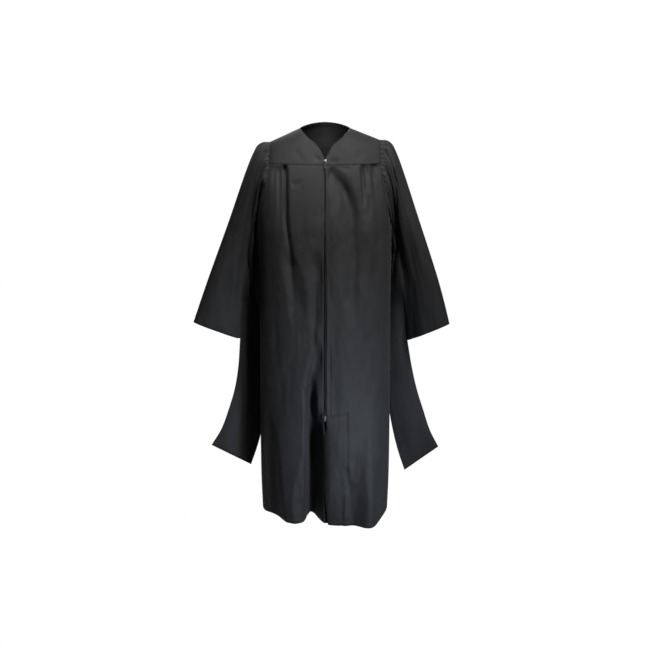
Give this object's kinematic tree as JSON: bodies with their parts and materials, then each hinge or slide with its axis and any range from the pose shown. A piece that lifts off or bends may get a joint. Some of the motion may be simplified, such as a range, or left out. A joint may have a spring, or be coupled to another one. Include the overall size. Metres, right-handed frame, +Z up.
{
  "type": "graduation gown",
  "caption": "Matt black graduation gown: yoked zip front with tucks, gathered oblong sleeves with wrist openings and closed hanging tails, hollow as worn.",
  "frame": {"origin": "midway between the two shoulder neck points, at their height, where the wearer's shoulders hold the gown", "axes": "+X to the wearer's left, -Y to the wearer's front, +Z up"},
  "size_m": [0.8462, 0.3472, 1.3075],
  "materials": {
    "cloth": "matt black woven polyester with a soft sheen on the folds",
    "zip_tape": "black woven tape with a black nylon chain",
    "zip_metal": "black enamelled metal, worn bright at its edges"
  },
  "bodies": {
    "gown": {"yoke_front_right": "cloth", "yoke_front_left": "cloth", "yoke_back": "cloth", "front_right": "cloth", "front_left": "cloth", "back": "cloth", "sleeve_front_right": "cloth", "sleeve_back_right": "cloth", "sleeve_front_left": "cloth", "sleeve_back_left": "cloth", "zip": "zip_tape", "zip_slider": "zip_metal"},
    "pull_tab": {"zip_pull": "zip_metal"}
  },
  "joints": [
    {"name": "pull_tab_hinge", "type": "hinge", "parent": "gown", "child": "pull_tab", "pos_m": [0, -0.09462, -0.09254], "axis": [-1, 0, 0], "range_deg": [0, 170]}
  ]
}
